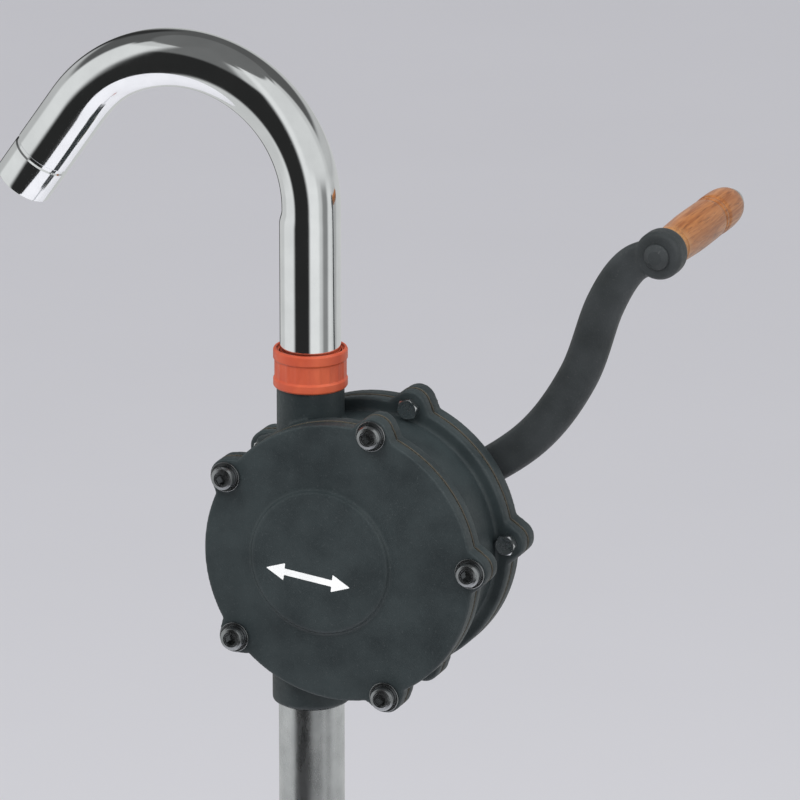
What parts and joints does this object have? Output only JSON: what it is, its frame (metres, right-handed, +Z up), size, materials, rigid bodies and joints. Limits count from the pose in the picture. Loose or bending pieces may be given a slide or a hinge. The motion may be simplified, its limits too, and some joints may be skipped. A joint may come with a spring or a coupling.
{
  "type": "rotary hand transfer pump",
  "caption": "Rotary hand pump for drums: round cast body with an offset crank, gooseneck spout, sectional suction tube, bung adapter and foot strainer.",
  "frame": {"origin": "on the suction tube's axis, in the plane where the bung gasket seats on the drum", "axes": "+Z up along the suction tube, -Y towards the blank front cover, +Y towards the crank, -X towards the spout's mouth"},
  "size_m": [0.3478, 0.2134, 1.562],
  "materials": {
    "cast_black": "satin textured black paint on cast aluminium",
    "arm_black": "satin textured black paint on a cast iron arm",
    "chrome": "bright plated steel tube",
    "zinc": "bright zinc plated steel",
    "yellow_zinc": "yellow passivated zinc plated steel",
    "red_plastic": "moulded orange-red plastic",
    "wood": "turned and varnished wood",
    "rubber": "oil resistant rubber",
    "paper": "fibre gasket sheet",
    "bronze": "sintered bronze",
    "rotor_metal": "machined casting",
    "steel": "plain steel",
    "vane": "machined plastic",
    "mesh": "woven steel wire"
  },
  "bodies": {
    "drum_fitting": {"bung_bush": "red_plastic", "bung_gasket": "rubber"},
    "clamp_ring": {"clamp_ring": "rubber"},
    "clamp_nut": {"clamp_nut": "red_plastic"},
    "pump": {"pump_body": "cast_black", "front_cover": "cast_black", "rear_cover": "cast_black", "front_gasket": "paper", "rear_gasket": "paper", "front_screw_1": "zinc", "front_screw_2": "zinc", "front_screw_3": "zinc", "front_screw_4": "zinc", "front_screw_5": "zinc", "front_washer_1": "zinc", "front_washer_2": "zinc", "front_washer_3": "zinc", "front_washer_4": "zinc", "front_washer_5": "zinc", "rear_bolt_1": "zinc", "rear_bolt_2": "zinc", "rear_bolt_3": "zinc", "rear_bolt_4": "zinc", "rear_bolt_5": "zinc", "rear_nut_1": "yellow_zinc", "rear_nut_2": "yellow_zinc", "rear_nut_3": "yellow_zinc", "rear_nut_4": "yellow_zinc", "rear_nut_5": "yellow_zinc", "front_bush": "bronze", "rear_bush": "bronze", "shaft_packing": "rubber", "upper_pipe": "chrome", "middle_pipe": "chrome", "lower_pipe": "chrome", "inlet_seal": "rubber", "strainer_ring": "red_plastic", "strainer_mesh": "mesh"},
    "gland_nut": {"gland_nut": "yellow_zinc"},
    "crank": {"shaft": "steel", "rotor": "rotor_metal", "rotor_key": "steel", "vane_spring_1": "steel", "vane_spring_2": "steel", "vane_spring_3": "steel", "crank_arm": "arm_black", "crank_washer": "zinc", "crank_nut": "yellow_zinc", "handle_spindle": "zinc", "handle_cap": "zinc", "handle_washer": "zinc"},
    "vane_1": {"vane_1": "vane"},
    "vane_2": {"vane_2": "vane"},
    "vane_3": {"vane_3": "vane"},
    "grip": {"wooden_grip": "wood"},
    "spout": {"spout_tube": "chrome", "spout_seal": "rubber"},
    "union_nut": {"union_nut": "red_plastic"}
  },
  "joints": [
    {"name": "pump_swivel", "type": "hinge", "parent": "drum_fitting", "child": "clamp_ring", "pos_m": [0, 0, 0.0767], "axis": [0, 0, 1], "continuous": true},
    {"name": "pump_height", "type": "slide", "parent": "clamp_ring", "child": "pump", "axis": [0, 0, 1], "range_m": [-0.24, 0]},
    {"name": "clamp_nut_turn", "type": "hinge", "parent": "drum_fitting", "child": "clamp_nut", "pos_m": [0, 0, 0.076], "axis": [0, 0, 1], "range_deg": [0, 90]},
    {"name": "spout_swivel", "type": "hinge", "parent": "pump", "child": "spout", "pos_m": [0, 0, 0.93], "axis": [0, 0, 1], "range_deg": [-10, 190]},
    {"name": "union_nut_turn", "type": "hinge", "parent": "pump", "child": "union_nut", "pos_m": [0, 0, 0.924], "axis": [0, 0, 1], "range_deg": [0, 90]},
    {"name": "gland_nut_turn", "type": "hinge", "parent": "pump", "child": "gland_nut", "pos_m": [0.019, 0.048, 0.833], "axis": [0, 1, 0], "range_deg": [-30, 60]},
    {"name": "crank_turn", "type": "hinge", "parent": "pump", "child": "crank", "pos_m": [0.019, 0, 0.833], "axis": [0, 1, 0], "continuous": true},
    {"name": "grip_turn", "type": "hinge", "parent": "crank", "child": "grip", "pos_m": [0.16488, 0.118, 0.98406], "axis": [0, 1, 0], "continuous": true},
    {"name": "vane_slide_1", "type": "slide", "parent": "crank", "child": "vane_1", "axis": [0.866, 0, -0.5], "range_m": [-0.003, 0], "stiffness_N_per_m": 400, "springref_m": 0.004},
    {"name": "vane_slide_2", "type": "slide", "parent": "crank", "child": "vane_2", "axis": [-0.866, 0, -0.5], "range_m": [-0.003, 0], "stiffness_N_per_m": 400, "springref_m": 0.004},
    {"name": "vane_slide_3", "type": "slide", "parent": "crank", "child": "vane_3", "axis": [0, 0, 1], "range_m": [-0.003, 0], "stiffness_N_per_m": 400, "springref_m": 0.004}
  ]
}
